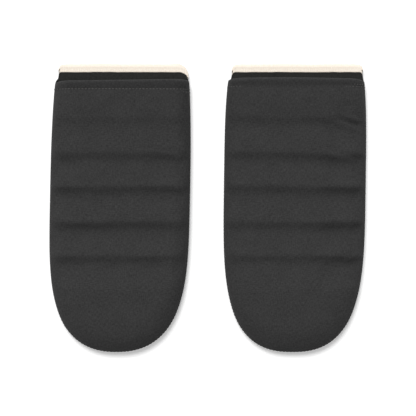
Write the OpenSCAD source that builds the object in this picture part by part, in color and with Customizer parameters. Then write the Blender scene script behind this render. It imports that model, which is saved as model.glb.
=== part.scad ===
// A pair of thumbless, quilted oven mitts lying side by side, mouths towards +Y and backs down.
// Each mitt is two panels of canvas, batting and lining, joined round the edge by one seam.
// Origin: middle of the pair, on the surface that the mitts lie on.

/* [Pair] */
// Clear space between the two mitts
pair_gap = 33; // [10:1:80]

/* [Mitt] */
// Width across the widest part of a mitt
mitt_w = 150; // [125:1:185]
// Width across the mouth, at the back lip
mouth_w = 140; // [104:1:150]
// Length from the back lip to the fingertip end
mitt_l = 302; // [250:1:380]
// Length of the rounded fingertip end
tip_l = 130; // [90:1:160]
// How square the rounded end is, where 2 is an ellipse
tip_squareness = 2.5; // [2:0.1:3.5]
// How far the front lip stands back from the back lip
lip_step = 18; // [12:1:40]
// Height of the hand pocket
pocket_h = 12; // [6:0.5:30]
// Width of the rounded shoulder along each panel's edge
shoulder_w = 24; // [14:1:32]

/* [Layers] */
// Thickness of the canvas shell
shell_t = 0.9; // [0.7:0.05:2]
// Thickness of the batting
batting_t = 5; // [2:0.5:8]
// Thickness of the lining
lining_t = 0.7; // [0.4:0.05:1.5]

/* [Mouth tape] */
// Width of the ribbed tape along the back lip
tape_w = 10; // [6:0.5:12]
// Thickness of the tape
tape_t = 0.8; // [0.4:0.1:2]
// From the back lip to the row of stitches that holds the tape
tape_row = 7.5; // [2:0.5:9]

/* [Stitching] */
// Width of a run of thread
thread_w = 0.8; // [0.4:0.1:1.2]
// Height of a run of thread
thread_h = 0.4; // [0.2:0.05:0.6]
// From the front lip to the row of stitches that holds its hem
hem_row = 8.5; // [4:0.5:15]
// Number of quilting rows
channels = 5; // [2:1:5]
// From the front lip to the first quilting row
first_channel = 38.5; // [20:0.5:45]
// From one quilting row to the next
channel_pitch = 36.5; // [20:0.5:40]
// Depth of the crease along the edge seam
crease_d = 0.6; // [0.5:0.05:0.65]
// Half the height of that crease
crease_h = 1; // [0.8:0.1:1.5]

/* [Hidden] */
// Space between a run of thread and the curved cloth under it
thread_clear = 0.15;
// Share of the crease that its thread fills
crease_fill = 0.6;
// Space between the end of a quilting row and the edge of the pocket
row_end = 3;
// Steps along each straight side, round each half of the tip, and over each shoulder
side_steps = 6;
tip_steps = 8;
shoulder_steps = 5;
// Shoulder step at which a run of thread starts
thread_start = 3;

back_lip = mitt_l / 2;
front_lip = back_lip - lip_step;
tip_start = tip_l - mitt_l / 2;
side_taper = (mitt_w - mouth_w) / 2;

// Insets of the four faces between the layers: shell, batting, lining, pocket
inset_batting = shell_t;
inset_lining = shell_t + batting_t;
inset_pocket = shell_t + batting_t + lining_t;

// Height of the edge seam, which is also the floor of the pocket
seam_z = shell_t + batting_t + lining_t;

canvas = "#3a3a3a";
dark_cloth = "#272725";
wool = "#e6e1d6";
cream = "#f9ead9";
dark_thread = "#4c4b49";
pale_thread = "#d8cab8";

// Half the width of the outline at y, moved in by an inset
function half_w(y, inset) =
  y >= tip_start
    ? mitt_w / 2 - side_taper * pow((y - tip_start) / (mitt_l - tip_l), 2) - inset
    : (mitt_w / 2 - inset)
      * pow(1 - pow((tip_start - y) / (tip_l - inset), tip_squareness), 1 / tip_squareness);

// The left half of the outline from the lip to the fingertip, moved in by an inset
function left_edge(inset, lip) = concat(
  [for (i = [0:side_steps - 1])
    let (y = lip + (tip_start - lip) * i / side_steps) [-half_w(y, inset), y]],
  [for (i = [0:tip_steps])
    let (a = 90 * i / tip_steps)
      [-(mitt_w / 2 - inset) * pow(cos(a), 2 / tip_squareness),
       tip_start - (tip_l - inset) * pow(sin(a), 2 / tip_squareness)]]
);

// The whole outline, an open U from the left end of the lip round to the right end
function outline(inset, lip) =
  let (left = left_edge(inset, lip), last = len(left) - 1)
    concat(left, [for (i = [last - 1:-1:0]) [-left[i].x, left[i].y]]);

function ring_at(step, lip) = [for (p = outline(step[0], lip)) [p.x, p.y, step[1]]];

// Steps [inset, height] of a panel's face, from the edge seam up over its shoulder.
// A negative rise goes down, as on the back panel.
function panel_face(inset, rise) =
  let (start = sign(rise) * crease_h)
    [for (i = [0:shoulder_steps])
      let (a = 90 * i / shoulder_steps)
        [inset + shoulder_w * (1 - cos(a)), seam_z + start + (rise - start) * sin(a)]];

function flip(faces, on) = on ? [for (f = faces) [for (i = [len(f) - 1:-1:0]) f[i]]] : faces;

// A sheet between two faces, each a list of [inset, height] steps of the same length.
// The first steps meet along the edge seam and the last ones close across the middle.
module sheet(outer, inner, lip) {
  steps = len(outer);
  n = len(outline(0, lip));
  side = steps * n;
  points = [for (face = [outer, inner]) for (step = face) each ring_at(step, lip)];
  function at(face, step, i) = face * side + step * n + i;
  skins = [for (face = [0, 1]) each flip(concat(
    [for (s = [0:steps - 2]) for (i = [0:n - 2])
      each [[at(face, s, i), at(face, s, i + 1), at(face, s + 1, i + 1)],
            [at(face, s, i), at(face, s + 1, i + 1), at(face, s + 1, i)]]],
    [for (i = [0:(n - 1) / 2 - 1]) let (t = steps - 1, j = n - 1 - i)
      each i < (n - 1) / 2 - 1
        ? [[at(face, t, i), at(face, t, i + 1), at(face, t, j - 1)],
           [at(face, t, i), at(face, t, j - 1), at(face, t, j)]]
        : [[at(face, t, i), at(face, t, i + 1), at(face, t, j)]]]), face == 0)];
  seam = [for (i = [0:n - 2])
    each [[at(0, 0, i), at(0, 0, i + 1), at(1, 0, i + 1)],
          [at(0, 0, i), at(1, 0, i + 1), at(1, 0, i)]]];
  lips = [for (end = [0, 1]) each flip([for (s = [0:steps - 2]) let (i = end * (n - 1))
    each [[at(0, s, i), at(1, s, i), at(1, s + 1, i)],
          [at(0, s, i), at(1, s + 1, i), at(0, s + 1, i)]]], end == 1)];
  crown = let (t = steps - 1, j = n - 1)
    [[at(0, t, 0), at(1, t, 0), at(1, t, j)], [at(0, t, 0), at(1, t, j), at(0, t, j)]];
  up = outer[steps - 1][1] > outer[0][1];
  polyhedron(points, flip(concat(skins, seam, lips, crown), !up));
}

module front_sheet(outer_inset, outer_rise, inner_inset, inner_rise) {
  outer = panel_face(outer_inset, outer_rise);
  inner = panel_face(inner_inset, inner_rise);
  start = outer_inset == 0 ? crease_d : outer_inset;
  sheet(concat([[start, seam_z]], outer), concat([[inner_inset, seam_z]], inner), front_lip);
}

// Faces of a four-sided bar made of n sections
function bar_faces(n) = concat(
  [for (i = [0:n - 2]) for (c = [0:3]) let (a = 4 * i + c, b = 4 * i + (c + 1) % 4)
    each [[a, b + 4, b], [a, a + 4, b + 4]]],
  [[0, 1, 2, 3], [for (c = [3:-1:0]) 4 * (n - 1) + c]]);

// A run of thread that follows a list of points across the mitt
module thread(path) {
  corners = [[-1, 0], [1, 0], [1, 1], [-1, 1]];
  points = [for (p = path) for (c = corners) p + [0, c[0] * thread_w / 2, c[1] * thread_h]];
  polyhedron(points, bar_faces(len(path)));
}

// Points across a panel at y, over a face of the given inset and rise, shifted by dz
function across(y, inset, rise, dz) =
  let (steps = panel_face(inset, rise),
       left = [for (i = [thread_start:shoulder_steps])
         [-half_w(y, steps[i][0]), y, steps[i][1] + dz]],
       last = len(left) - 1)
    concat(left, [for (i = [last:-1:0]) [-left[i].x, left[i].y, left[i].z]]);

function channel_y(i) = front_lip - first_channel - i * channel_pitch;

module front_shell() color(canvas)
  front_sheet(0, pocket_h + lining_t + batting_t + shell_t,
              inset_batting, pocket_h + lining_t + batting_t);

module front_batting() color(wool)
  front_sheet(inset_batting, pocket_h + lining_t + batting_t, inset_lining, pocket_h + lining_t);

module front_lining() color(dark_cloth)
  front_sheet(inset_lining, pocket_h + lining_t, inset_pocket, pocket_h);

module back_shell() color(canvas)
  sheet(concat([[crease_d, seam_z]], panel_face(0, -seam_z)),
        concat([[inset_batting, seam_z]], panel_face(inset_batting, shell_t - seam_z)), back_lip);

// The back lining lies in a recess of the batting, level with the edge seam
module back_batting() color(wool) {
  outer = panel_face(inset_batting, shell_t - seam_z);
  inner = [for (i = [0:shoulder_steps])
    [inset_lining + outer[i][0] - inset_batting, seam_z - lining_t]];
  sheet(concat([[inset_batting, seam_z]], outer), concat([[inset_lining, seam_z]], inner), back_lip);
}

module back_lining() color(dark_cloth)
  translate([0, 0, seam_z - lining_t])
    linear_extrude(lining_t) polygon(outline(inset_lining, back_lip));

module mouth_tape() color(cream)
  translate([0, 0, seam_z]) linear_extrude(tape_t)
    polygon([for (c = [[-1, 0], [1, 0], [1, 1], [-1, 1]])
      let (y = back_lip - c[1] * tape_w) [c[0] * half_w(y, crease_d), y]]);

module tape_stitching() color(pale_thread) {
  y = back_lip - tape_row;
  reach = half_w(y, inset_lining);
  translate([-reach, y - thread_w / 2, seam_z + tape_t]) cube([2 * reach, thread_w, thread_h]);
}

module hem_stitching() color(dark_thread)
  thread(across(front_lip - hem_row, 0, pocket_h + lining_t + batting_t + shell_t, thread_clear));

// Quilting holds the lining to the batting, and shows only inside the pocket
module front_quilting() color(dark_thread)
  for (i = [0:channels - 1])
    thread(across(channel_y(i), inset_pocket, pocket_h, -thread_clear - thread_h));

module back_quilting() color(dark_thread)
  for (i = [0:channels - 1]) {
    reach = half_w(channel_y(i), inset_pocket + row_end);
    translate([-reach, channel_y(i) - thread_w / 2, seam_z]) cube([2 * reach, thread_w, thread_h]);
  }

// One thread in the crease, from the front lip round the fingertip and back
module edge_seam() color(dark_thread) {
  deep = outline(crease_fill * crease_d, front_lip);
  proud = outline((1 - crease_fill) * crease_d / 2, front_lip);
  rise = (1 - crease_fill) * crease_h / 2;
  points = [for (i = [0:len(deep) - 1])
    each [[proud[i].x, proud[i].y, seam_z - rise], [deep[i].x, deep[i].y, seam_z - rise],
          [deep[i].x, deep[i].y, seam_z + rise], [proud[i].x, proud[i].y, seam_z + rise]]];
  polyhedron(points, bar_faces(len(deep)));
}

module left() translate([-(pair_gap + mitt_w) / 2, 0, 0]) children();
module right() translate([(pair_gap + mitt_w) / 2, 0, 0]) children();

left() front_shell();  // left_front_shell
left() back_shell();  // left_back_shell
left() front_batting();  // left_front_batting
left() back_batting();  // left_back_batting
left() front_lining();  // left_front_lining
left() back_lining();  // left_back_lining
left() mouth_tape();  // left_mouth_tape
left() tape_stitching();  // left_tape_stitching
left() hem_stitching();  // left_hem_stitching
left() front_quilting();  // left_front_quilting
left() back_quilting();  // left_back_quilting
left() edge_seam();  // left_edge_seam
right() front_shell();  // right_front_shell
right() back_shell();  // right_back_shell
right() front_batting();  // right_front_batting
right() back_batting();  // right_back_batting
right() front_lining();  // right_front_lining
right() back_lining();  // right_back_lining
right() mouth_tape();  // right_mouth_tape
right() tape_stitching();  // right_tape_stitching
right() hem_stitching();  // right_hem_stitching
right() front_quilting();  // right_front_quilting
right() back_quilting();  // right_back_quilting
right() edge_seam();  // right_edge_seam
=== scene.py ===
"""Looks of a pair of thumbless, quilted oven mitts that lie side by side on a white surface.

Each mitt is a front and a back panel of canvas, batting and lining, closed by an edge seam. The front
lip stands back from the back lip, so the dark lining and the cream tape of the back lip show at the
mouth. Lengths in the classes are millimetres in the frame's axes, and meshes are made in metres.
"""

import logging
import math
from dataclasses import dataclass
from enum import Enum
from typing import Callable, Iterable

import bmesh
import bpy
import numpy as np
from mathutils import Matrix, Vector, noise


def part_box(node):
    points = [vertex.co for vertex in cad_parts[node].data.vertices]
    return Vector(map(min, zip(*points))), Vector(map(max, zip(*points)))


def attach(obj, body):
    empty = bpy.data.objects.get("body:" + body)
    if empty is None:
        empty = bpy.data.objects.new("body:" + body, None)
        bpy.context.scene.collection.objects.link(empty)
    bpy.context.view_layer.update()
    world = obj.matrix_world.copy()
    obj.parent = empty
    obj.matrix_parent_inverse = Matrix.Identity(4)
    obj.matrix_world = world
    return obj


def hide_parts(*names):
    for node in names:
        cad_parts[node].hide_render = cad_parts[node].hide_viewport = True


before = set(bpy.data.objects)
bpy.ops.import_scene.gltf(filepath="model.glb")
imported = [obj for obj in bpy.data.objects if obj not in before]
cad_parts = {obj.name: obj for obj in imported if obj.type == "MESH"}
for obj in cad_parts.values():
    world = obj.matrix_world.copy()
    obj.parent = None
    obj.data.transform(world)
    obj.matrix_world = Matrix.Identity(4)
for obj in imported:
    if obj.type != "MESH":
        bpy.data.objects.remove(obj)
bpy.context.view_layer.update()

LOG = logging.getLogger("oven_mitts")
MM = 0.001


class Side(Enum):
    """Which mitt of the pair."""

    LEFT = "left"
    RIGHT = "right"


class Face(Enum):
    """Which panel of a mitt."""

    FRONT = "front"
    BACK = "back"


@dataclass(frozen=True)
class Layers:
    """Thicknesses of the cloth and padding in one panel, in mm."""

    shell: float
    batting: float
    lining: float

    @property
    def total(self) -> float:
        """Thickness of the whole panel."""
        return self.shell + self.batting + self.lining


@dataclass(frozen=True)
class QuiltRow:
    """One quilting row: its height on the mitt, its slope, and how deep it pulls in across the mitt."""

    y: float
    slope: float
    left: float
    middle: float
    right: float


@dataclass(frozen=True)
class Crease:
    """A pucker in the cloth, from one point to another, in mm from the mitt's own middle."""

    start: tuple[float, float]
    end: tuple[float, float]
    width: float
    depth: float


@dataclass(frozen=True)
class MittShape:
    """How one hand-sewn mitt differs from the frame's even outline, in mm."""

    side: Side
    half_width: float
    offset: float
    tip_start: float
    across_power: float
    along_power: float
    taper: float
    taper_power: float
    lean: float
    skew: float
    front_lip: tuple[float, float, float]
    back_corner: tuple[float, float]
    mouth_inset: tuple[float, float]
    hem_row: float
    rows: tuple[QuiltRow, ...]
    creases: tuple[Crease, ...]
    seed: float


def smooth(x: np.ndarray) -> np.ndarray:
    """Smooth step from 0 at 0 to 1 at 1.

    Args:
        x: values of any range.

    Returns:
        The eased values, held at 0 and 1 outside that range.
    """
    x = np.clip(x, 0.0, 1.0)
    return x * x * (3.0 - 2.0 * x)


def three_way(s: np.ndarray, left: float, middle: float, right: float) -> np.ndarray:
    """A value that runs smoothly through three given ones.

    Args:
        s: place across the mitt, from -1 at the left to 1 at the right.
        left: value at the left.
        middle: value in the middle.
        right: value at the right.

    Returns:
        The value at each place.
    """
    return middle + (right - left) / 2 * s + ((left + right) / 2 - middle) * s * s


def noise_at(x: np.ndarray, y: np.ndarray, seed: float) -> np.ndarray:
    """Smooth noise from -1 to 1.

    Args:
        x: first coordinate, in wavelengths.
        y: second coordinate, in wavelengths.
        seed: which noise.

    Returns:
        The noise at each point.
    """
    flat = [noise.noise(Vector((a, b, seed))) for a, b in zip(np.ravel(x), np.ravel(y), strict=True)]
    return np.array(flat).reshape(np.shape(x))


class MittForm:
    """The sewn form of one mitt, from which each of its pieces takes its place."""

    SHOULDER_SHARE = 0.24
    SHOULDER_CELLS = 0.30
    BACK_SHOULDER = 0.17
    DOME = 1.3
    PUFF = 9.0
    VALLEY = 3.2
    ONSET = 3.7
    THINNEST = 2.8
    FLARE = 3.0
    FLARE_LENGTH = 8.0
    FOLDS = {Face.FRONT: 2.2, Face.BACK: 3.3}

    def __init__(self, shape: MittShape) -> None:
        """Reads the mitt's sizes from the frame.

        Args:
            shape: how this mitt differs from the frame's outline.
        """
        self.shape = shape
        name = shape.side.value
        back_lo, back_hi = (np.array(c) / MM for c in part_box(f"{name}_back_shell"))
        front_lo, front_hi = (np.array(c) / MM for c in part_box(f"{name}_front_shell"))
        pad_lo = np.array(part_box(f"{name}_back_batting")[0]) / MM
        lining_lo = np.array(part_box(f"{name}_back_lining")[0]) / MM
        self.centre = (back_lo[0] + back_hi[0]) / 2
        self.back_lip = back_hi[1]
        self.front_lip = front_hi[1]
        self.tip = back_lo[1] + 0.3
        self.seam = front_lo[2]
        self.crown = front_hi[2] - front_lo[2]
        shell = pad_lo[2] - back_lo[2]
        lining = self.seam - lining_lo[2]
        self.layers = Layers(shell, self.seam - shell - lining, lining)
        self.pocket = self.crown - self.layers.total

    @property
    def name(self) -> str:
        """The side's name, which the frame's nodes start with."""
        return self.shape.side.value

    def lip(self, face: Face) -> float:
        """Nominal height of a panel's lip along the mitt."""
        return self.front_lip if face is Face.FRONT else self.back_lip

    def ring(self, r: np.ndarray) -> np.ndarray:
        """Spreads the cells so that the rounded shoulder gets its share of them.

        Args:
            r: place from 0 in the middle to 1 on the edge, in even cells.

        Returns:
            The same place as a share of the half width.
        """
        inner = r * (1 - self.SHOULDER_SHARE) / (1 - self.SHOULDER_CELLS)
        angle = np.clip((1 - r) / self.SHOULDER_CELLS, 0, 1) * math.pi / 2
        outer = 1 - self.SHOULDER_SHARE * (1 - np.cos(angle))
        return np.where(r <= 1 - self.SHOULDER_CELLS, inner, outer)

    def lip_shift(self, u: np.ndarray, face: Face) -> np.ndarray:
        """How far the sewn lip lies from its nominal line.

        Args:
            u: place across the panel, from -1 to 1.
            face: which panel.

        Returns:
            The shift along the mitt, in mm.
        """
        if face is Face.FRONT:
            return three_way(u, *self.shape.front_lip) - self.front_lip - self.FOLDS[face]
        x = np.abs(self.ring(np.abs(u))) * self.shape.half_width
        radius = np.where(u < 0, *self.shape.back_corner)
        into = np.clip((x - (self.shape.half_width - radius)) / radius, 0, 1)
        wave = 0.35 * noise_at(u * 2.3, u * 0, self.shape.seed + 4.0)
        return wave - self.FOLDS[face] - radius * (1 - np.sqrt(np.clip(1 - into**2, 0, 1)))

    def plan(self, u: np.ndarray, t: np.ndarray, face: Face, inset: np.ndarray) -> tuple[np.ndarray, ...]:
        """Where a cell lies as seen from above.

        Args:
            u: place across the panel, from -1 to 1.
            t: place along the panel, from 0 at the lip to 1 at the fingertip end.
            face: which panel.
            inset: how far the layer's edge lies inside the outline, in mm.

        Returns:
            x and y in mm, and the ring, 0 in the middle and 1 on the edge.
        """
        s = self.shape
        lip = self.lip(face)
        y_even = lip + (self.tip - lip) * t
        span = s.tip_start - self.tip
        along = np.clip((s.tip_start - y_even) / span, 0, 1)
        w = along ** (s.along_power / s.across_power)
        r = np.maximum(np.abs(u), w)
        norm = np.maximum((np.abs(u) ** s.across_power + w**s.across_power) ** (1 / s.across_power), 1e-9)
        k = self.ring(r) / norm
        across, down = u * k, (w * k) ** (s.across_power / s.along_power)
        above = np.clip((y_even - s.tip_start) / (self.front_lip - s.tip_start), 0, None)
        half = s.half_width - inset - s.taper * np.minimum(above, 1.12) ** s.taper_power
        if face is Face.BACK:
            free = smooth((y_even - self.front_lip - 1.0) / 3.0)
            half = half - free * np.where(u < 0, *s.mouth_inset)
        y = np.where(along > 0, s.tip_start - (span - inset) * down, y_even)
        shift = s.offset + s.lean * (self.front_lip - y) / (self.front_lip - self.tip) + s.skew * along**2
        y = y + self.lip_shift(u, face) * np.exp(-(lip - y_even) / 14.0)
        return self.centre + shift + across * half, y, np.minimum(self.ring(r), 1.0)

    @staticmethod
    def shoulder(ring: np.ndarray, share: float) -> np.ndarray:
        """Height of a rounded shoulder, from 0 on the edge to 1 where the panel is flat.

        Args:
            ring: place from 0 in the middle to 1 on the edge.
            share: the shoulder's width as a share of the half width.

        Returns:
            The share of the full height.
        """
        c = 1 - np.clip((1 - ring) / share, 0, 1)
        return np.sqrt(np.clip(1 - c * c, 0, 1))

    def relief(self, x: np.ndarray, y: np.ndarray) -> np.ndarray:
        """Height of the quilted puffs, which are fullest just above each row and droop over it.

        Args:
            x: place across, in mm.
            y: place along, in mm.

        Returns:
            The height in mm, 0 at the fullest.
        """
        s = self.shape
        across = (x - self.centre) / s.half_width
        waver = noise_at(across * 2.2, y / 60.0, s.seed)
        height = np.zeros_like(x)
        for i, row in enumerate(s.rows):
            sway = 1.1 * noise_at(across * 1.7, 0 * y + i * 3.7, s.seed + 9.0)
            line = row.y + row.slope * across + sway
            pitch = row.y - s.rows[i + 1].y if i + 1 < len(s.rows) else s.rows[i - 1].y - row.y
            below = np.clip(line - y, 0, None)
            run = below / self.ONSET
            fall = 1 - np.exp(-run) * (1 + run)
            ride = np.minimum(below / pitch, 1)
            gain = three_way(across, row.left, row.middle, row.right) * (1 + 0.3 * waver)
            height += self.PUFF * np.clip(gain, 0.1, None) * (ride - fall)
        for crease in s.creases:
            height -= self.pucker(x - self.centre, y, crease)
        return height

    @staticmethod
    def pucker(x: np.ndarray, y: np.ndarray, crease: Crease) -> np.ndarray:
        """Depth of one pucker.

        Args:
            x: place across from the mitt's middle, in mm.
            y: place along, in mm.
            crease: the pucker.

        Returns:
            The depth in mm, with a low welt beside it.
        """
        a, b = np.array(crease.start), np.array(crease.end)
        run = b - a
        length = float(np.hypot(*run))
        along = ((x - a[0]) * run[0] + (y - a[1]) * run[1]) / length
        off = ((x - a[0]) * run[1] - (y - a[1]) * run[0]) / length
        ends = smooth((along + 4.0) / 10.0) * smooth((length + 4.0 - along) / 10.0)
        across = (off / crease.width) ** 2
        return crease.depth * ends * (np.exp(-across) - 0.55 * np.exp(-(((off / crease.width) - 1.6) ** 2)))

    def wrinkles(self, x: np.ndarray, y: np.ndarray) -> np.ndarray:
        """Slight unevenness of cloth over padding.

        Args:
            x: place across, in mm.
            y: place along, in mm.

        Returns:
            The height in mm.
        """
        s = self.shape.seed
        broad = noise_at(x / 34.0, y / 21.0, s + 20.0)
        fine = noise_at(x / 15.0, y / 7.0, s + 31.0)
        return 0.42 * broad + 0.14 * fine

    def hem_pull(self, y: np.ndarray, face: Face) -> np.ndarray:
        """How far the topstitched row pulls the front panel in.

        Args:
            y: place along, in mm.
            face: which panel.

        Returns:
            The pull in mm.
        """
        if face is Face.BACK:
            return np.zeros_like(y)
        row = self.shape.hem_row
        return 0.9 * np.exp(-(((y - row) / 1.6) ** 2)) + 0.5 * smooth((y - row + 9.0) / 9.0)

    def thickness(self, t: np.ndarray, face: Face) -> np.ndarray:
        """Thickness of the panel, which thins towards its sewn lip.

        Args:
            t: place along the panel, from 0 at the lip to 1 at the fingertip end.
            face: which panel.

        Returns:
            The thickness in mm.
        """
        from_lip = t * (self.lip(face) - self.tip)
        thinned = 3.0 if face is Face.FRONT else 1.6
        return self.layers.total - thinned * (1 - smooth(from_lip / 15.0))

    def base(self, u: np.ndarray, t: np.ndarray, depth: np.ndarray, face: Face) -> np.ndarray:
        """A point of a panel before its puffs and wrinkles.

        Args:
            u: place across the panel, from -1 to 1.
            t: place along the panel, from 0 at the lip to 1 at the fingertip end.
            depth: how far below the panel's outer face, in mm.
            face: which panel.

        Returns:
            The points in mm, in the last axis.
        """
        total = self.layers.total
        x0, y0, ring = self.plan(u, t, face, 0 * u)
        hidden = smooth((self.front_lip + 1.0 - y0) / 4.0)
        edge = total * np.ones_like(u) if face is Face.FRONT else 0.7 + (total - 0.7) * hidden
        x1, y1, _ = self.plan(u, t, face, edge)
        if face is Face.FRONT:
            from_lip = t * (self.front_lip - self.tip)
            rise = self.shoulder(ring, self.SHOULDER_SHARE)
            flare = self.FLARE * np.exp(-from_lip / self.FLARE_LENGTH) * rise
            z0 = self.seam + (self.crown - self.DOME - 0.9) * rise + self.DOME * (1 - ring**2) + flare
            z1 = self.seam + self.pocket * rise + flare
        else:
            from_lip = t * (self.back_lip - self.tip)
            z0 = self.seam * (1 - self.shoulder(ring, self.BACK_SHOULDER)) + 1.1 * np.exp(-from_lip / 3.0)
            z1 = self.seam - 1.6 * smooth((ring - 0.93) / 0.07) * hidden
        pinch = 0.6 * np.exp(-(((z0 - self.seam) / 1.1) ** 2)) * smooth((ring - 0.9) / 0.1)
        x0 = x0 - pinch * np.sign(u) * np.minimum(1, np.abs(u) * 1.2) * (1 - smooth((t - 0.8) / 0.2))
        outer, inner = np.stack([x0, y0, z0], -1), np.stack([x1, y1, z1], -1)
        return outer + (inner - outer) * (depth / total)[..., None]

    def normal(self, u: np.ndarray, t: np.ndarray, depth: np.ndarray, face: Face) -> np.ndarray:
        """The way out of a panel, square to its face.

        Args:
            u: place across the panel, from -1 to 1.
            t: place along the panel, from 0 at the lip to 1 at the fingertip end.
            depth: how far below the panel's outer face, in mm.
            face: which panel.

        Returns:
            Unit vectors, in the last axis.
        """
        e = 1e-3
        u0, u1 = np.clip(u - e, -1, 1), np.clip(u + e, -1, 1)
        t0, t1 = np.clip(t - e, 0, 1), np.clip(t + e, 0, 1)
        du = self.base(u1, t, depth, face) - self.base(u0, t, depth, face)
        dt = self.base(u, t1, depth, face) - self.base(u, t0, depth, face)
        n = np.cross(dt, du)
        size = np.linalg.norm(n, axis=-1, keepdims=True)
        scale = np.linalg.norm(du, axis=-1, keepdims=True) * np.linalg.norm(dt, axis=-1, keepdims=True)
        side = np.stack([np.sign(u), -t, 0 * u], -1)
        side /= np.maximum(np.linalg.norm(side, axis=-1, keepdims=True), 1e-9)
        n = n / np.maximum(size, 1e-12) * (1 if face is Face.FRONT else -1)
        return np.where(size > 0.2 * np.maximum(scale, 1e-12), n, side)

    def surface(self, u: np.ndarray, t: np.ndarray, depth: np.ndarray | float, face: Face) -> np.ndarray:
        """A point of the finished panel.

        Args:
            u: place across the panel, from -1 to 1.
            t: place along the panel, from 0 at the lip to 1 at the fingertip end.
            depth: how far below the outer face, in mm, before the panel thins towards its lip.
            face: which panel.

        Returns:
            The points in mm, in the last axis.
        """
        u, t = np.broadcast_arrays(np.asarray(u, float), np.asarray(t, float))
        depth = depth + 0 * u
        total = self.layers.total
        within = np.clip(depth, 0, total)
        real = within * self.thickness(t, face) / total + (depth - within)
        points = self.base(u, t, real, face)
        out = self.normal(u, t, np.clip(real, 0, total), face)
        x, y = points[..., 0], points[..., 1]
        ring = self.plan(u, t, face, 0 * u)[2]
        share = within / total
        edge = smooth((1 - ring) / 0.09)
        puffs = self.relief(x, y) * edge * (0.45 + 0.55 * smooth((1 - ring) / 0.18))
        folds = self.wrinkles(x, y) * edge
        if face is Face.FRONT:
            outer = puffs + folds - self.hem_pull(y, face) * edge
            inner = -0.35 * (puffs + self.VALLEY * edge)
            inner = np.minimum(inner, outer + np.maximum(self.thickness(t, face) - self.THINNEST, 0.0))
        else:
            outer = 0.35 * np.minimum(puffs, 0.0)
            inner = -0.3 * (puffs + 0.8 * edge) - 0.3 * folds
        return points + out * (outer * (1 - share) + inner * share)[..., None]

    def lip_fold(
        self, u: np.ndarray, turn: np.ndarray, depths: tuple[float, float], face: Face
    ) -> np.ndarray:
        """A point of cloth that turns over a panel's lip.

        Args:
            u: place across the panel, from -1 to 1.
            turn: place round the fold, from 0 on the outer face to 1 on the inner face.
            depths: the depths on the outer and on the inner face, in mm.
            face: which panel.

        Returns:
            The points in mm, in the last axis.
        """
        a = self.surface(u, 0 * u, depths[0], face)
        b = self.surface(u, 0 * u, depths[1], face)
        gap = np.linalg.norm(a - b, axis=-1, keepdims=True) / 2
        angle = (turn * math.pi)[..., None]
        out = np.array([0.0, 1.0, 0.0])
        return (a + b) / 2 + (a - b) / 2 * np.cos(angle) + out * gap * np.sin(angle)

    def t_at(self, u: np.ndarray, y: np.ndarray, face: Face) -> np.ndarray:
        """The place along a panel at which a line across it has a given height.

        Args:
            u: place across the panel, from -1 to 1.
            y: height along the mitt, in mm.
            face: which panel.

        Returns:
            The place along the panel, from 0 to 1.
        """
        low, high = np.zeros_like(u), np.ones_like(u)
        for _ in range(30):
            middle = (low + high) / 2
            above = self.plan(u, middle, face, 0 * u)[1] > y
            low, high = np.where(above, middle, low), np.where(above, high, middle)
        return (low + high) / 2


class NodeSketch:
    """Adds shader nodes to a tree and wires them."""

    def __init__(self, tree: bpy.types.NodeTree) -> None:
        """Keeps the tree.

        Args:
            tree: the node tree to draw in.
        """
        self.tree = tree

    def add(self, kind: str, **settings: object) -> bpy.types.Node:
        """Adds a node.

        Args:
            kind: the node's type name.
            settings: attributes to set on it.

        Returns:
            The new node.
        """
        node = self.tree.nodes.new(kind)
        for key, value in settings.items():
            setattr(node, key, value)
        return node

    def feed(self, socket: bpy.types.NodeSocket, value: object) -> None:
        """Wires an output into a socket, or sets the socket's own value.

        Args:
            socket: the input.
            value: another node's output, or a number, vector or colour.
        """
        if isinstance(value, bpy.types.NodeSocket):
            self.tree.links.new(value, socket)
        else:
            socket.default_value = value

    def math(self, operation: str, *values: object) -> bpy.types.NodeSocket:
        """Adds a math node.

        Args:
            operation: the node's operation.
            values: outputs or numbers for its inputs.

        Returns:
            The node's output.
        """
        node = self.add("ShaderNodeMath", operation=operation)
        for socket, value in zip(node.inputs, values):
            self.feed(socket, value)
        return node.outputs[0]

    def mix(self, share: object, low: object, high: object) -> bpy.types.NodeSocket:
        """Mixes two colours.

        Args:
            share: share of the second colour.
            low: the first colour.
            high: the second colour.

        Returns:
            The mixed colour.
        """
        node = self.add("ShaderNodeMix", data_type="RGBA", clamp_factor=True)
        self.feed(node.inputs[0], share)
        self.feed(node.inputs[6], low)
        self.feed(node.inputs[7], high)
        return node.outputs[2]

    def noise(self, vector: object, scale: float, detail: float = 2.0) -> bpy.types.NodeSocket:
        """Adds a noise texture.

        Args:
            vector: the place.
            scale: how fine it is.
            detail: how many finer layers it has.

        Returns:
            The noise's value.
        """
        node = self.add("ShaderNodeTexNoise")
        self.feed(node.inputs["Vector"], vector)
        self.feed(node.inputs["Scale"], scale)
        self.feed(node.inputs["Detail"], detail)
        return node.outputs["Fac"]


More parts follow.
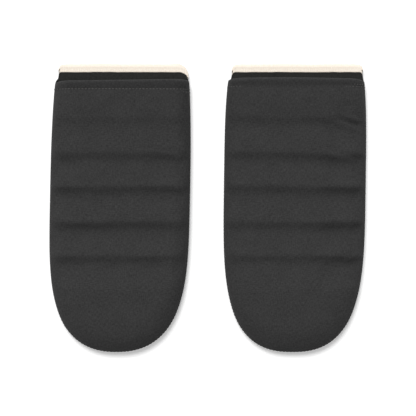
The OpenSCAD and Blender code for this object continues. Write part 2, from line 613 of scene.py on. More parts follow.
class ShaderGroups:
    """The effects that several finishes share, each built once."""

    def __init__(self) -> None:
        """Builds the groups."""
        self.weave = self.build_weave()
        self.mottle = self.build_mottle()

    @staticmethod
    def start(name: str, inputs: dict[str, tuple[str, float]], outputs: tuple[str, ...]) -> tuple:
        """Starts a group with named sockets.

        Args:
            name: the group's name.
            inputs: socket types and defaults by name.
            outputs: names of the value outputs.

        Returns:
            The tree, its sketch, its input node and its output node.
        """
        tree = bpy.data.node_groups.new(name, "ShaderNodeTree")
        for key, (kind, default) in inputs.items():
            socket = tree.interface.new_socket(name=key, in_out="INPUT", socket_type=kind)
            if kind == "NodeSocketFloat":
                socket.default_value = default
        for key in outputs:
            tree.interface.new_socket(name=key, in_out="OUTPUT", socket_type="NodeSocketFloat")
        sketch = NodeSketch(tree)
        return tree, sketch, sketch.add("NodeGroupInput"), sketch.add("NodeGroupOutput")

    def build_weave(self) -> bpy.types.NodeTree:
        """Builds the plain weave, which puts out the yarns' height and which yarn is on top.

        Returns:
            The node group.
        """
        sockets = {
            "Vector": ("NodeSocketVector", 0.0),
            "Across": ("NodeSocketFloat", 0.8),
            "Along": ("NodeSocketFloat", 0.8),
            "Slub": ("NodeSocketFloat", 0.2),
        }
        tree, k, start, end = self.start("plain weave", sockets, ("Height", "Over"))
        parts = k.add("ShaderNodeSeparateXYZ")
        k.feed(parts.inputs[0], start.outputs["Vector"])
        sways = []
        for axis, pitch in ((0, "Across"), (1, "Along")):
            drift = k.math("MULTIPLY", k.noise(start.outputs["Vector"], 0.35, 1.0), 0.5)
            yarn = k.math("ADD", k.math("DIVIDE", parts.outputs[axis], start.outputs[pitch]), drift)
            sways.append(k.math("SINE", k.math("MULTIPLY", yarn, math.pi)))
        over = k.math("MULTIPLY_ADD", k.math("MULTIPLY", sways[0], sways[1]), 0.5, 0.5)
        warp = k.math("MULTIPLY", k.math("ABSOLUTE", sways[0]), over)
        weft = k.math("MULTIPLY", k.math("ABSOLUTE", sways[1]), k.math("SUBTRACT", 1.0, over))
        slub = k.math("SUBTRACT", k.noise(start.outputs["Vector"], 0.9, 2.0), 0.5)
        height = k.math("MULTIPLY_ADD", slub, start.outputs["Slub"], k.math("MAXIMUM", warp, weft))
        k.feed(end.inputs["Height"], height)
        k.feed(end.inputs["Over"], over)
        return tree

    def build_mottle(self) -> bpy.types.NodeTree:
        """Builds the unevenness of dyed yarn: single darker yarns and soft cloudy patches.

        Returns:
            The node group.
        """
        sockets = {
            "Vector": ("NodeSocketVector", 0.0),
            "Yarn Length": ("NodeSocketFloat", 7.0),
            "Clouds": ("NodeSocketFloat", 0.4),
        }
        tree, k, start, end = self.start("yarn mottle", sockets, ("Value",))
        streaks = []
        for stretch in ((0.32, 0.95, 1.0), (0.95, 0.32, 1.0)):
            scale = k.add("ShaderNodeVectorMath", operation="MULTIPLY")
            k.feed(scale.inputs[0], start.outputs["Vector"])
            k.feed(scale.inputs[1], stretch)
            streaks.append(k.noise(scale.outputs[0], 1.0, 1.0))
        yarns = k.math("MULTIPLY", k.math("ADD", streaks[0], streaks[1]), 0.5)
        clouds = k.math("SUBTRACT", k.noise(start.outputs["Vector"], 0.06, 3.0), 0.5)
        value = k.math("MULTIPLY_ADD", clouds, start.outputs["Clouds"], yarns)
        k.feed(end.inputs["Value"], value)
        return tree


@dataclass(frozen=True)
class WovenFinish:
    """A plain woven cloth."""

    name: str
    dark: tuple[float, float, float]
    light: tuple[float, float, float]
    across: float
    along: float
    slub: float
    roughness: float
    sheen: float
    bump: float
    specular: float = 0.15
    contrast: float = 2.0

    def material(self, groups: ShaderGroups) -> bpy.types.Material:
        """Makes the material.

        Args:
            groups: the shared effects.

        Returns:
            The material.
        """
        made = bpy.data.materials.new(self.name)
        made.use_nodes = True
        made.node_tree.nodes.clear()
        k = NodeSketch(made.node_tree)
        cloth = k.add("ShaderNodeTexCoord").outputs["UV"]
        weave = k.add("ShaderNodeGroup", node_tree=groups.weave)
        k.feed(weave.inputs["Vector"], cloth)
        k.feed(weave.inputs["Across"], self.across)
        k.feed(weave.inputs["Along"], self.along)
        k.feed(weave.inputs["Slub"], self.slub)
        mottle = k.add("ShaderNodeGroup", node_tree=groups.mottle)
        k.feed(mottle.inputs["Vector"], cloth)
        k.feed(mottle.inputs["Clouds"], 0.16)
        height = weave.outputs["Height"]
        tone = k.math("MULTIPLY_ADD", k.math("SUBTRACT", mottle.outputs["Value"], 0.5), self.contrast, 0.3)
        # Painted shade: the base colour is lighter on the yarn crowns and darker in the gaps between yarns,
        # on top of the dyed yarns' random tone.
        shade = k.math("ADD", tone, k.math("MULTIPLY", height, 0.45))
        shader = k.add("ShaderNodeBsdfPrincipled")
        k.feed(shader.inputs["Base Color"], k.mix(shade, (*self.dark, 1.0), (*self.light, 1.0)))
        k.feed(shader.inputs["Roughness"], k.math("MULTIPLY_ADD", height, -0.06, self.roughness))
        shader.inputs["Specular IOR Level"].default_value = self.specular
        shader.inputs["Sheen Weight"].default_value = self.sheen
        shader.inputs["Sheen Roughness"].default_value = 0.5
        bump = k.add("ShaderNodeBump")
        bump.inputs["Strength"].default_value = 0.8
        bump.inputs["Distance"].default_value = self.bump * MM
        k.feed(bump.inputs["Height"], height)
        k.feed(shader.inputs["Normal"], bump.outputs[0])
        k.feed(k.add("ShaderNodeOutputMaterial").inputs[0], shader.outputs[0])
        return made


@dataclass(frozen=True)
class ThreadFinish:
    """Twisted sewing thread."""

    name: str
    colour: tuple[float, float, float]
    roughness: float
    twist: float = 0.55

    def material(self, groups: ShaderGroups) -> bpy.types.Material:
        """Makes the material.

        Args:
            groups: the shared effects.

        Returns:
            The material.
        """
        made = bpy.data.materials.new(self.name)
        made.use_nodes = True
        made.node_tree.nodes.clear()
        k = NodeSketch(made.node_tree)
        place = k.add("ShaderNodeTexCoord").outputs["Object"]
        turned = k.add("ShaderNodeMapping")
        turned.inputs["Rotation"].default_value = (0.0, 0.0, math.radians(35))
        turned.inputs["Scale"].default_value = (1 / MM, 1 / MM, 1 / MM)
        k.feed(turned.inputs["Vector"], place)
        parts = k.add("ShaderNodeSeparateXYZ")
        k.feed(parts.inputs[0], turned.outputs[0])
        wave = k.math("SINE", k.math("MULTIPLY", parts.outputs[0], 2 * math.pi / self.twist))
        ply = k.math("MULTIPLY_ADD", wave, 0.5, 0.5)
        fuzz = k.noise(turned.outputs[0], 1.3, 2.0)
        # Painted shade: the twist grooves between plies are darker and the ply crowns lighter, mixed with
        # random fuzz.
        shade = k.math("MULTIPLY_ADD", ply, 0.55, k.math("MULTIPLY", fuzz, 0.45))
        shader = k.add("ShaderNodeBsdfPrincipled")
        low = tuple(0.72 * c for c in self.colour)
        high = tuple(min(1.0, 1.25 * c) for c in self.colour)
        k.feed(shader.inputs["Base Color"], k.mix(shade, (*low, 1.0), (*high, 1.0)))
        k.feed(shader.inputs["Roughness"], k.math("MULTIPLY_ADD", ply, -0.1, self.roughness))
        shader.inputs["Specular IOR Level"].default_value = 0.3
        bump = k.add("ShaderNodeBump")
        bump.inputs["Strength"].default_value = 0.6
        bump.inputs["Distance"].default_value = 0.1 * MM
        k.feed(bump.inputs["Height"], ply)
        k.feed(shader.inputs["Normal"], bump.outputs[0])
        k.feed(k.add("ShaderNodeOutputMaterial").inputs[0], shader.outputs[0])
        return made


@dataclass(frozen=True)
class WaddingFinish:
    """Cotton wadding, matted and soft."""

    name: str
    dark: tuple[float, float, float]
    light: tuple[float, float, float]

    def material(self, groups: ShaderGroups) -> bpy.types.Material:
        """Makes the material.

        Args:
            groups: the shared effects.

        Returns:
            The material.
        """
        made = bpy.data.materials.new(self.name)
        made.use_nodes = True
        made.node_tree.nodes.clear()
        k = NodeSketch(made.node_tree)
        place = k.add("ShaderNodeMapping")
        place.inputs["Scale"].default_value = (1 / MM, 1 / MM, 1 / MM)
        k.feed(place.inputs["Vector"], k.add("ShaderNodeTexCoord").outputs["Object"])
        matted = k.noise(place.outputs[0], 0.5, 5.0)
        mottle = k.add("ShaderNodeGroup", node_tree=groups.mottle)
        k.feed(mottle.inputs["Vector"], place.outputs[0])
        shade = k.math("MULTIPLY_ADD", matted, 0.8, k.math("MULTIPLY", mottle.outputs["Value"], 0.3))
        shader = k.add("ShaderNodeBsdfPrincipled")
        k.feed(shader.inputs["Base Color"], k.mix(shade, (*self.dark, 1.0), (*self.light, 1.0)))
        shader.inputs["Roughness"].default_value = 0.95
        shader.inputs["Specular IOR Level"].default_value = 0.1
        shader.inputs["Sheen Weight"].default_value = 0.2
        bump = k.add("ShaderNodeBump")
        bump.inputs["Distance"].default_value = 0.6 * MM
        k.feed(bump.inputs["Height"], matted)
        k.feed(shader.inputs["Normal"], bump.outputs[0])
        k.feed(k.add("ShaderNodeOutputMaterial").inputs[0], shader.outputs[0])
        return made


class Workshop:
    """Makes each finish once, by its slot."""

    FINISHES = {
        "canvas": WovenFinish(
            name="charcoal_canvas",
            dark=(0.01995, 0.0197, 0.01989),
            light=(0.04961, 0.04946, 0.04956),
            across=0.75,
            along=0.7,
            slub=0.25,
            roughness=0.92,
            sheen=0.04,
            bump=0.16,
        ),
        "lining": WovenFinish(
            name="black_cotton",
            dark=(0.012, 0.012, 0.0113),
            light=(0.029, 0.029, 0.0275),
            across=0.55,
            along=0.5,
            slub=0.15,
            roughness=0.94,
            sheen=0.02,
            bump=0.10,
        ),
        "tape": WovenFinish(
            name="cream_twill_tape",
            dark=(0.8749, 0.7373, 0.6147),
            light=(0.98, 0.9301, 0.8275),
            across=0.5,
            along=1.1,
            slub=0.1,
            roughness=0.85,
            sheen=0.05,
            bump=0.10,
            contrast=1.2,
        ),
        "batting": WaddingFinish("cotton_wadding", (0.66, 0.62, 0.56), (0.84, 0.80, 0.74)),
        "dark_thread": ThreadFinish("grey_thread", (0.085, 0.083, 0.080), 0.6),
        "pale_thread": ThreadFinish("ecru_thread", (0.68, 0.58, 0.47), 0.6),
    }

    def __init__(self) -> None:
        """Makes the materials."""
        groups = ShaderGroups()
        self.materials = {slot: finish.material(groups) for slot, finish in self.FINISHES.items()}

    def dress(self, piece: bpy.types.Object, slot: str) -> None:
        """Gives a piece the finish of one of the slots."""
        piece.data.materials.append(self.materials[slot])


@dataclass(frozen=True)
class Weft:
    """A run of rows of cells in a piece of cloth, and where its points go."""

    rows: int
    place: Callable[[np.ndarray, np.ndarray], np.ndarray]


class Cutter:
    """Turns cells of cloth into pieces."""

    @staticmethod
    def keep(name: str, bm: bmesh.types.BMesh) -> bpy.types.Object:
        """Makes an object of a mesh.

        Args:
            name: the object's name.
            bm: the mesh, which is freed.

        Returns:
            The object, smooth-shaded.
        """
        for face in bm.faces:
            face.smooth = True
        mesh = bpy.data.meshes.new(name)
        bm.to_mesh(mesh)
        bm.free()
        piece = bpy.data.objects.new(name, mesh)
        bpy.context.scene.collection.objects.link(piece)
        return piece

    @staticmethod
    def grid(across: int, wefts: tuple[Weft, ...]) -> bmesh.types.BMesh:
        """Lays a grid of cells over runs of rows that follow each other from the fingertip to the lip.

        Args:
            across: cells across.
            wefts: the runs of rows, each with its own shape.

        Returns:
            The mesh, with a UV map in mm that follows the cloth.
        """
        total = sum(w.rows for w in wefts)
        bm = bmesh.new()
        bmesh.ops.create_grid(bm, x_segments=across, y_segments=total, size=1.0)
        flat = np.array([v.co[:2] for v in bm.verts])
        column = np.rint((flat[:, 0] + 1) / 2 * across).astype(int)
        row = np.rint((flat[:, 1] + 1) / 2 * total).astype(int)
        u = np.linspace(-1, 1, across + 1)
        points = np.zeros((total + 1, across + 1, 3))
        first = 0
        for weft in wefts:
            last = first + weft.rows
            steps = np.linspace(0, 1, weft.rows + 1)
            uu, vv = np.meshgrid(u, steps)
            points[first : last + 1] = weft.place(uu, vv)
            first = last
        for vert, i, j in zip(bm.verts, row, column, strict=True):
            vert.co = points[i, j] * MM
        bm.normal_update()
        layer = bm.loops.layers.uv.new("cloth")
        middle = Vector(np.median(points.reshape(-1, 3), axis=0)) * MM
        for vert in bm.verts:
            rolled = max(0.0, abs(vert.co.z - middle.z) / MM - 3.0) * 0.8
            way = vert.normal.xy if vert.normal.xy.dot((vert.co - middle).xy) > 0 else -vert.normal.xy
            for loop in vert.link_loops:
                loop[layer].uv = vert.co.xy / MM + way * rolled
        return bm

    @staticmethod
    def stiffen(piece: bpy.types.Object, thickness: float, rounds: int) -> None:
        """Gives a cloth its thickness, inwards from its face, and rounds its cells."""
        solid = piece.modifiers.new("thickness", "SOLIDIFY")
        solid.thickness = thickness * MM
        solid.offset = -1.0
        if rounds:
            soft = piece.modifiers.new("soft", "SUBSURF")
            soft.levels = rounds
            soft.render_levels = rounds


@dataclass
class ClothSettling:
    """Lets a sewn canvas swell over its wadding and find its own small folds between its rows."""

    pressure: float = 2.0
    spare: float = -0.012
    frames: int = 20
    cap: float = 1.2
    group: str = "sewn_down"

    def hold(self, piece: bpy.types.Object, form: MittForm) -> None:
        """Pins the cloth at its rim, its hem and its quilting rows.

        Args:
            piece: the canvas.
            form: the mitt's form.
        """
        held = piece.vertex_groups.new(name=self.group)
        for vert in piece.data.vertices:
            x, y, z = (c / MM for c in vert.co)
            across = (x - form.centre) / form.shape.half_width
            gaps = [abs(y - (r.y - 1.5) - r.slope * across) for r in form.shape.rows]
            row = 1.0 - float(smooth(np.array((min(gaps) - 1.5) / 4.0)))
            rim = 1.0 - float(smooth(np.array((z - form.seam - 11.0) / 3.0)))
            hem = float(smooth(np.array((y - form.shape.hem_row + 6.0) / 4.0)))
            held.add([vert.index], min(1.0, max(row, rim, hem)), "REPLACE")

    def settle(self, piece: bpy.types.Object, form: MittForm) -> None:
        """Runs the cloth and keeps its result in the mesh, within the cap.

        Args:
            piece: the canvas, before it gets its thickness.
            form: the mitt's form.
        """
        self.hold(piece, form)
        cloth = piece.modifiers.new("settling", "CLOTH")
        facts = cloth.settings
        facts.quality = 5
        facts.mass = 0.15
        facts.tension_stiffness = 10.0
        facts.compression_stiffness = 10.0
        facts.shear_stiffness = 4.0
        facts.bending_stiffness = 0.3
        facts.shrink_min = self.spare
        facts.vertex_group_mass = self.group
        facts.use_pressure = True
        facts.uniform_pressure_force = self.pressure
        facts.effector_weights.gravity = 0.0
        cloth.collision_settings.use_collision = False
        scene = bpy.context.scene
        for step in range(1, self.frames + 1):
            scene.frame_set(step)
        settled = piece.evaluated_get(bpy.context.evaluated_depsgraph_get()).data
        count = len(piece.data.vertices)
        before, after = np.empty(count * 3), np.empty(count * 3)
        piece.data.vertices.foreach_get("co", before)
        settled.vertices.foreach_get("co", after)
        ways = np.empty(count * 3)
        piece.data.vertex_normals.foreach_get("vector", ways)
        ways = ways.reshape(-1, 3)
        lift = np.sum((after - before).reshape(-1, 3) / MM * ways, axis=1, keepdims=True)
        LOG.info("%s settled by %.2f to %.2f mm", piece.name, lift.min(), lift.max())
        moved = ways * np.tanh(np.maximum(lift, 0.0) / self.cap) * self.cap
        piece.modifiers.remove(cloth)
        piece.data.vertices.foreach_set("co", before + moved.ravel() * MM)
        piece.data.update()
        scene.frame_set(1)


@dataclass(frozen=True)
class Stitch:
    """One visible stitch, in mm."""

    length: float
    width: float
    height: float
    pitch: float


@dataclass(frozen=True)
class SewnRow:
    """A row of stitches across a panel: its height at both ends and how far across it runs."""

    left_y: float
    right_y: float
    start: float = -1.0
    end: float = 1.0


class Sewing:
    """Sews rows of stitches along lines on a mitt."""

    def __init__(self, form: MittForm) -> None:
        """Keeps the mitt's form."""
        self.form = form

    def line(self, row: SewnRow, depth: float, face: Face) -> tuple[np.ndarray, np.ndarray]:
        """Points and ways out along a row.

        Args:
            row: the row.
            depth: how far below the panel's outer face, in mm.
            face: which panel.

        Returns:
            The points in mm and the unit vectors out of the outer face.
        """
        u = np.linspace(row.start, row.end, 161)
        t = self.form.t_at(u, row.left_y + (row.right_y - row.left_y) * (u + 1) / 2, face)
        points = self.form.surface(u, t, depth, face)
        out = self.form.normal(u, t, np.clip(depth + 0 * u, 0, self.form.layers.total), face)
        return points, out

    @staticmethod
    def sew(
        name: str, lines: Iterable[tuple[np.ndarray, np.ndarray]], stitch: Stitch, seed: float
    ) -> bpy.types.Object:
        """Makes rows of stitches one piece.

        Args:
            name: the piece's name.
            lines: points in mm along each row, with the way out at each.
            stitch: the stitch.
            seed: which unevenness.

        Returns:
            The piece.
        """
        bm = bmesh.new()
        for n, (points, out) in enumerate(lines):
            steps = np.linalg.norm(np.diff(points, axis=0), axis=1)
            run = np.concatenate([[0.0], np.cumsum(steps)])
            count = int(run[-1] / stitch.pitch)
            for k in range(count):
                at = (k + 0.5) * run[-1] / count
                ends = [at - stitch.length / 2, at + stitch.length / 2]
                a, b = (np.array([np.interp(e, run, points[:, i]) for i in range(3)]) for e in ends)
                up = Vector([float(np.interp(at, run, out[:, i])) for i in range(3)]).normalized()
                along = Vector(b - a).normalized()
                side = up.cross(along).normalized()
                up = along.cross(side)
                wobble = noise.noise(Vector((k * 0.9, n * 5.1, seed)))
                along = (along + side * 0.14 * wobble).normalized()
                side = up.cross(along)
                turn = Matrix((along, side, up)).transposed().to_4x4()
                place = Matrix.Translation(Vector((a + b) / 2 * MM))
                sizes = (stitch.length / 2, stitch.width / 2, stitch.height / 2)
                size = Matrix.Diagonal((*(s * MM * (1 + 0.12 * wobble) for s in sizes), 1.0))
                laid = place @ turn @ size
                bmesh.ops.create_uvsphere(bm, u_segments=6, v_segments=4, radius=1.0, matrix=laid)
        bmesh.ops.recalc_face_normals(bm, faces=bm.faces)
        return Cutter.keep(name, bm)


@dataclass
class PanelPieces:
    """The canvas, wadding and lining of one panel of a mitt."""

    form: MittForm
    workshop: Workshop
    face: Face
    shell_cells: tuple[int, int] = (64, 110)
    lining_cells: tuple[int, int] = (44, 80)
    wadding_cells: tuple[int, int] = (54, 92)
    wadding_from: float = 116.0
    hem: float = 9.0
    fold_rows: int = 6
    cut_share: float = 0.9
    hem_rows: int = 4

    @property
    def prefix(self) -> str:
        """Start of the panel's node names."""
        return f"{self.form.name}_{self.face.value}"

    @property
    def length(self) -> float:
        """Length of the panel from its lip to the fingertip, in mm."""
        return self.form.lip(self.face) - self.form.tip

    def finish(self, piece: bpy.types.Object, node: str, slot: str) -> None:
        """Dresses a piece, ties it to its body and lets it stand for its node.

        Args:
            piece: the piece.
            node: the frame's node.
            slot: the material slot.
        """
        self.workshop.dress(piece, slot)
        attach(piece, f"{self.form.name}_mitt")
        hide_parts(node)

    def declare(self, grown: float) -> None:
        """Works out the length to which a cloth was cut, but does nothing with it.

        Args:
            grown: what the cut is wider all round than the panel looks, in mm.
        """
        length = (self.length + 2 * grown) * MM

    def shell(self) -> bpy.types.Object:
        """Builds the canvas, which turns in over the lip.

        Returns:
            The piece.
        """
        form, face = self.form, self.face
        inside = form.layers.total + 0.9
        band = self.hem / self.length
        main = Weft(self.shell_cells[1], lambda u, v: form.surface(u, 1 - v, 0.0, face))
        fold = Weft(self.fold_rows, lambda u, v: form.lip_fold(u, v, (0.0, inside), face))
        hem = Weft(self.hem_rows, lambda u, v: form.surface(u * (1 - 0.02 * v), v * band, inside, face))
        wefts = (main, fold, hem) if face is Face.FRONT else (main, fold)
        bm = Cutter.grid(self.shell_cells[0], wefts)
        if face is Face.BACK:
            bmesh.ops.reverse_faces(bm, faces=bm.faces)
        piece = Cutter.keep(f"{self.prefix}_canvas", bm)
        if face is Face.FRONT:
            ClothSettling().settle(piece, form)
        Cutter.stiffen(piece, form.layers.shell, 1)
        self.finish(piece, f"{self.prefix}_shell", "canvas")
        self.declare(10.0)
        return piece

    def wadding(self) -> bpy.types.Object:
        """Builds the wadding as a closed pad between the canvas and the lining.

        Returns:
            The piece.
        """
        form, face = self.form, self.face
        start = (form.lip(face) - self.wadding_from) / self.length
        cover = form.layers.shell + 0.95
        under = form.layers.total - form.layers.lining - 0.15
        columns, rows = self.wadding_cells
        wide, end = 0.965, 0.98

        def layer(depth: float) -> bmesh.types.BMesh:
            """One face of the pad, at a depth in mm."""
            span = end - start
            run = Weft(rows, lambda u, v: form.surface(wide * u, start + span * (1 - v), depth, face))
            return Cutter.grid(columns, (run,))

        bm = layer(under)
        other = layer(cover)
        bmesh.ops.reverse_faces(bm, faces=bm.faces)
        scratch = bpy.data.meshes.new("wadding_half")
        other.to_mesh(scratch)
        other.free()
        bm.from_mesh(scratch)
        bpy.data.meshes.remove(scratch)
        rim = [e for e in bm.edges if e.is_boundary]
        bmesh.ops.bridge_loops(bm, edges=rim)
        bmesh.ops.recalc_face_normals(bm, faces=bm.faces)
        piece = Cutter.keep(f"{self.prefix}_wadding", bm)
        soft = piece.modifiers.new("soft", "SUBSURF")
        soft.levels = 1
        soft.render_levels = 1
        self.finish(piece, f"{self.prefix}_batting", "batting")
        return piece

    def lining(self) -> bpy.types.Object:
        """Builds the cotton that faces the hand.

        Returns:
            The piece.
        """
        form, face = self.form, self.face
        start = 3.0 / self.length if face is Face.FRONT else 1.5 / self.length
        total = form.layers.total
        rows = self.lining_cells[1]
        main = Weft(rows, lambda u, v: form.surface(u, start + (1 - start) * (1 - v), total, face))
        bm = Cutter.grid(self.lining_cells[0], (main,))
        if face is Face.FRONT:
            bmesh.ops.reverse_faces(bm, faces=bm.faces)
        piece = Cutter.keep(f"{self.prefix}_cotton", bm)
        Cutter.stiffen(piece, form.layers.lining, 1)
        self.finish(piece, f"{self.prefix}_lining", "lining")
        self.declare(4.0)
        return piece

    def quilting(self, sewing: Sewing) -> bpy.types.Object:
        """Sews the quilting rows, which show inside the pocket.

        Args:
            sewing: the sewing of this mitt.

        Returns:
            The piece.
        """
        reach = 0.86
        rows = [
            SewnRow(row.y - row.slope * reach, row.y + row.slope * reach, -reach, reach)
            for row in self.form.shape.rows
        ]
        inside = self.form.layers.total + 0.1
        lines = [sewing.line(row, inside, self.face) for row in rows]
        stitch = Stitch(length=2.7, width=0.7, height=0.4, pitch=3.6)
        piece = sewing.sew(f"{self.prefix}_quilt_rows", lines, stitch, self.form.shape.seed)
        self.finish(piece, f"{self.prefix}_quilting", "dark_thread")
        return piece


@dataclass
class MouthTape:
    """The ribbed cream tape that binds the back lip."""

    form: MittForm
    workshop: Workshop
    width: float = 6.8
    under: float = 3.0
    rib_pitch: float = 2.2
    rib_cells: int = 6
    rib_height: float = 0.34
    cloth: float = 0.5
    clearance: float = 0.25

    @property
    def length(self) -> float:
        """Length of the back panel, in mm."""
        return self.form.back_lip - self.form.tip

    @property
    def below(self) -> float:
        """Depth of the part under the lip, in mm."""
        return 0.2 - self.cloth

    @property
    def above(self) -> float:
        """Depth of the part on top, in mm."""
        return self.form.layers.total + self.cloth

    def ribs(self, points: np.ndarray) -> np.ndarray:
        """Height of the ribs.

        Args:
            points: points on the tape, in mm.

        Returns:
            The height in mm at each point.
        """
        phase = points[..., 0] / self.rib_pitch
        bend = 0.10 * noise_at(points[..., 0] / 9.0, points[..., 1] / 6.0, self.form.shape.seed + 50.0)
        wave = np.abs(np.sin(math.pi * (phase + bend)))
        return self.rib_height * wave**0.7

    def underside(self, u: np.ndarray, v: np.ndarray) -> np.ndarray:
        """The part under the lip, from its cut edge to the fold."""
        points = self.form.surface(u, (1 - v) * self.under / self.length, self.below, Face.BACK)
        points[..., 2] += self.clearance
        return points

    def fold(self, u: np.ndarray, v: np.ndarray) -> np.ndarray:
        """The part that turns round the lip."""
        points = self.form.lip_fold(u, v, (self.below, self.above), Face.BACK)
        points[..., 2] += self.clearance * (1 - v)
        points[..., 1] += self.ribs(points) * np.sin(v * math.pi)
        return points

    def top(self, u: np.ndarray, v: np.ndarray) -> np.ndarray:
        """The part that shows on top, from the fold to its cut edge."""
        fray = 0.25 * noise_at(u * 9, 0 * v, self.form.shape.seed + 61.0)
        points = self.form.surface(u, v * (self.width + fray) / self.length, self.above, Face.BACK)
        points[..., 2] += self.ribs(points) * (1 - 0.6 * smooth((v - 0.9) / 0.1)) - 0.15 * v
        return points

    def build(self) -> bpy.types.Object:
        """Builds the tape.

        Returns:
            The piece.
        """
        form = self.form
        across = int(2 * form.shape.half_width / self.rib_pitch) * self.rib_cells
        bm = Cutter.grid(across, (Weft(2, self.underside), Weft(5, self.fold), Weft(8, self.top)))
        piece = Cutter.keep(f"{form.name}_cream_tape", bm)
        Cutter.stiffen(piece, self.cloth, 0)
        self.workshop.dress(piece, "tape")
        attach(piece, f"{form.name}_mitt")
        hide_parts(f"{form.name}_mouth_tape")
        return piece


@dataclass
class Mitt:
    """One oven mitt with all its pieces."""

    shape: MittShape
    workshop: Workshop
    hem_rows: tuple[SewnRow, ...]
    hem_proud: float
    tape_row: float = 7.5

    def sewn(self, piece: bpy.types.Object, node: str, slot: str) -> bpy.types.Object:
        """Dresses sewn rows, ties them to the mitt and lets them stand for their node.

        Args:
            piece: the sewn rows.
            node: the frame's node, without the side.
            slot: the material slot.

        Returns:
            The same piece.
        """
        self.workshop.dress(piece, slot)
        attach(piece, f"{self.shape.side.value}_mitt")
        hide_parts(f"{self.shape.side.value}_{node}")
        return piece

    def build(self) -> list[bpy.types.Object]:
        """Builds the mitt from its lining out.

        Returns:
            The pieces.
        """
        form = MittForm(self.shape)
        sewing = Sewing(form)
        name = form.name
        pieces = []
        for face in (Face.BACK, Face.FRONT):
            panel = PanelPieces(form, self.workshop, face)
            pieces += [panel.wadding(), panel.lining(), panel.shell(), panel.quilting(sewing)]
        pieces.append(MouthTape(form, self.workshop).build())
        y = form.back_lip - self.tape_row
        tape = sewing.line(SewnRow(y, y, -0.97, 0.97), form.layers.total + 0.85, Face.BACK)
        tape = (tape[0], -tape[1])
        stitch = Stitch(length=2.3, width=0.75, height=0.5, pitch=3.4)
        piece = sewing.sew(f"{name}_tape_row", [tape], stitch, form.shape.seed + 2)
        pieces.append(self.sewn(piece, "tape_stitching", "pale_thread"))
        lines = [sewing.line(row, -self.hem_proud, Face.FRONT) for row in self.hem_rows]
        stitch = Stitch(length=2.5, width=0.85, height=0.6, pitch=3.5)
        piece = sewing.sew(f"{name}_hem_row", lines, stitch, form.shape.seed + 3)
        pieces.append(self.sewn(piece, "hem_stitching", "dark_thread"))
        stitch = Stitch(length=3.0, width=0.8, height=0.5, pitch=3.6)
        piece = sewing.sew(f"{name}_edge_row", [self.edge(form)], stitch, form.shape.seed + 5)
        pieces.append(self.sewn(piece, "edge_seam", "dark_thread"))
        return pieces

    @staticmethod
    def edge(form: MittForm) -> tuple[np.ndarray, np.ndarray]:
        """The line of the edge seam, from the front lip round the fingertip and back.

        Args:
            form: the mitt's form.

        Returns:
            The points in mm and the ways out.
        """
        one, run = np.ones(90), np.linspace(0.02, 1, 90)
        u = np.concatenate([-one, np.linspace(-1, 1, 90)[1:-1], one])
        t = np.concatenate([run, np.ones(88), run[::-1]])
        points = form.surface(u, t, 0.0, Face.FRONT)
        tangent = np.gradient(points, axis=0)
        out = np.stack([tangent[:, 1], -tangent[:, 0], 0 * u], -1)
        out /= np.maximum(np.linalg.norm(out, axis=-1, keepdims=True), 1e-9)
        return points, -out


@dataclass
class Studio:
    """The white surface, the light and the camera."""

    view_width: float = 0.4368
    lens: float = 180.0
    sensor: float = 36.0
    sun_way: tuple[float, float, float] = (-0.17, 0.51, 0.85)
    sun_size: float = 28.0
    sun_strength: float = 2.75
    sky: float = 0.30
    floor_colour: float = 0.84
    floor_glow: float = 0.34

    def floor(self) -> bpy.types.Object:
        """Lays the white surface, which keeps the shadow.

        Returns:
            The surface.
        """
        bm = bmesh.new()
        bmesh.ops.create_grid(bm, x_segments=1, y_segments=1, size=3.0)
        bmesh.ops.translate(bm, verts=bm.verts, vec=(0, 0, -0.0002))
        floor = Cutter.keep("white_surface", bm)
        made = bpy.data.materials.new("white_paper")
        made.use_nodes = True
        made.node_tree.nodes.clear()
        k = NodeSketch(made.node_tree)
        paint = k.add("ShaderNodeBsdfDiffuse")
        paint.inputs["Color"].default_value = (self.floor_colour,) * 3 + (1.0,)
        glow = k.add("ShaderNodeEmission")
        seen = k.add("ShaderNodeLightPath").outputs[0]
        k.feed(glow.inputs["Strength"], k.math("MULTIPLY", seen, self.floor_glow))
        both = k.add("ShaderNodeAddShader")
        k.feed(both.inputs[0], paint.outputs[0])
        k.feed(both.inputs[1], glow.outputs[0])
        k.feed(k.add("ShaderNodeOutputMaterial").inputs[0], both.outputs[0])
        floor.data.materials.append(made)
        return floor

    def light(self) -> None:
        """Sets a large soft lamp at the upper left and an even pale sky."""
        lamp = bpy.data.lights.new("window", "SUN")
        lamp.energy = self.sun_strength
        lamp.angle = math.radians(self.sun_size)
        window = bpy.data.objects.new("window", lamp)
        way = Vector(self.sun_way).normalized()
        window.rotation_euler = (-way).to_track_quat("-Z", "Y").to_euler()
        window.location = way
        bpy.context.scene.collection.objects.link(window)
        world = bpy.data.worlds.new("pale_room")
        world.use_nodes = True
        world.node_tree.nodes.clear()
        k = NodeSketch(world.node_tree)
        seen = k.add("ShaderNodeLightPath").outputs[0]
        back = k.add("ShaderNodeBackground")
        k.feed(back.inputs["Strength"], k.math("MULTIPLY_ADD", seen, 1 - self.sky, self.sky))
        k.feed(back.inputs["Color"], (1.0, 1.0, 1.0, 1.0))
        k.feed(k.add("ShaderNodeOutputWorld").inputs[0], back.outputs[0])
        bpy.context.scene.world = world

    def camera(self) -> None:
        """Hangs the camera straight above the pair."""
        eye = bpy.data.cameras.new("overhead")
        eye.lens = self.lens
        eye.sensor_width = self.sensor
        eye.clip_end = 50.0
        eye_object = bpy.data.objects.new("overhead", eye)
        eye_object.location = (0, 0, self.view_width * self.lens / self.sensor)
        bpy.context.scene.collection.objects.link(eye_object)
        bpy.context.scene.camera = eye_object

    def build(self) -> None:
        """Sets up the scene round the object."""
        bpy.context.scene.view_settings.view_transform = "Standard"
        self.floor()
        self.light()
        self.camera()


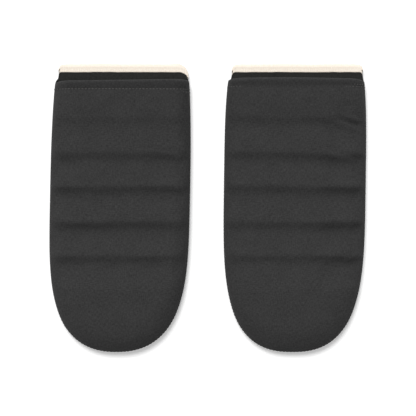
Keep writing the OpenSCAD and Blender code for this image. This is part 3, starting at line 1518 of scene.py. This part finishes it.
LEFT_SHAPE = MittShape(
    side=Side.LEFT,
    half_width=73.65,
    offset=1.75,
    tip_start=18.7,
    across_power=2.32,
    along_power=4.0,
    taper=3.0,
    taper_power=2.55,
    lean=-5.35,
    skew=-0.66,
    front_lip=(131.4, 132.9, 133.4),
    back_corner=(3.2, 11.5),
    mouth_inset=(2.6, 0.5),
    hem_row=123.6,
    rows=(
        QuiltRow(95.8, 0.0, 0.44, 0.39, 0.40),
        QuiltRow(58.4, 0.0, 1.01, 0.90, 1.18),
        QuiltRow(23.6, 0.0, 1.29, 0.98, 1.06),
        QuiltRow(-13.3, 0.0, 1.44, 1.05, 0.92),
        QuiltRow(-48.6, 0.0, 1.12, 0.91, 0.80),
    ),
    creases=(
        Crease((48.0, 33.0), (68.0, 22.0), 3.2, 0.9),
        Crease((40.0, 62.0), (66.0, 57.0), 3.0, 0.8),
    ),
    seed=1.3,
)

RIGHT_SHAPE = MittShape(
    side=Side.RIGHT,
    half_width=74.6,
    offset=0.7,
    tip_start=30.0,
    across_power=2.5,
    along_power=3.93,
    taper=2.84,
    taper_power=3.7,
    lean=-3.7,
    skew=-0.3,
    front_lip=(134.0, 135.4, 133.1),
    back_corner=(4.5, 3.7),
    mouth_inset=(2.6, 0.5),
    hem_row=126.5,
    rows=(
        QuiltRow(95.8, -2.2, 0.75, 0.65, 1.30),
        QuiltRow(58.4, -1.0, 0.86, 0.98, 1.79),
        QuiltRow(23.6, -0.6, 1.01, 0.98, 1.93),
        QuiltRow(-13.3, 0.0, 0.86, 0.90, 1.79),
        QuiltRow(-48.6, 0.0, 0.75, 0.91, 1.68),
    ),
    creases=(
        Crease((40.0, 94.0), (70.0, 85.0), 2.8, 2.2),
        Crease((58.0, 99.0), (71.0, 91.0), 2.6, 1.5),
        Crease((34.0, 60.0), (70.0, 52.0), 3.4, 1.2),
        Crease((48.0, -50.0), (72.0, -45.0), 3.0, 1.0),
    ),
    seed=7.9,
)


def write_sizes() -> None:
    """Updates the view layer."""
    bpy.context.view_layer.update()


def main() -> None:
    """Builds the scene and both mitts, and reports each piece."""
    logging.basicConfig(level=logging.INFO, format="%(name)s: %(message)s")
    Studio().build()
    workshop = Workshop()
    left_hem = (SewnRow(123.6, 123.6), SewnRow(120.6, 120.6, 0.80, 0.97))
    right_hem = (
        SewnRow(126.5, 126.2),
        SewnRow(128.7, 128.5, 0.74, 0.97),
    )
    left = Mitt(LEFT_SHAPE, workshop, left_hem, hem_proud=0.42)
    right = Mitt(RIGHT_SHAPE, workshop, right_hem, hem_proud=0.24)
    for mitt in (left, right):
        for piece in mitt.build():
            LOG.info("%s: %d faces", piece.name, len(piece.data.polygons))
    write_sizes()


if __name__ == "__main__":
    main()
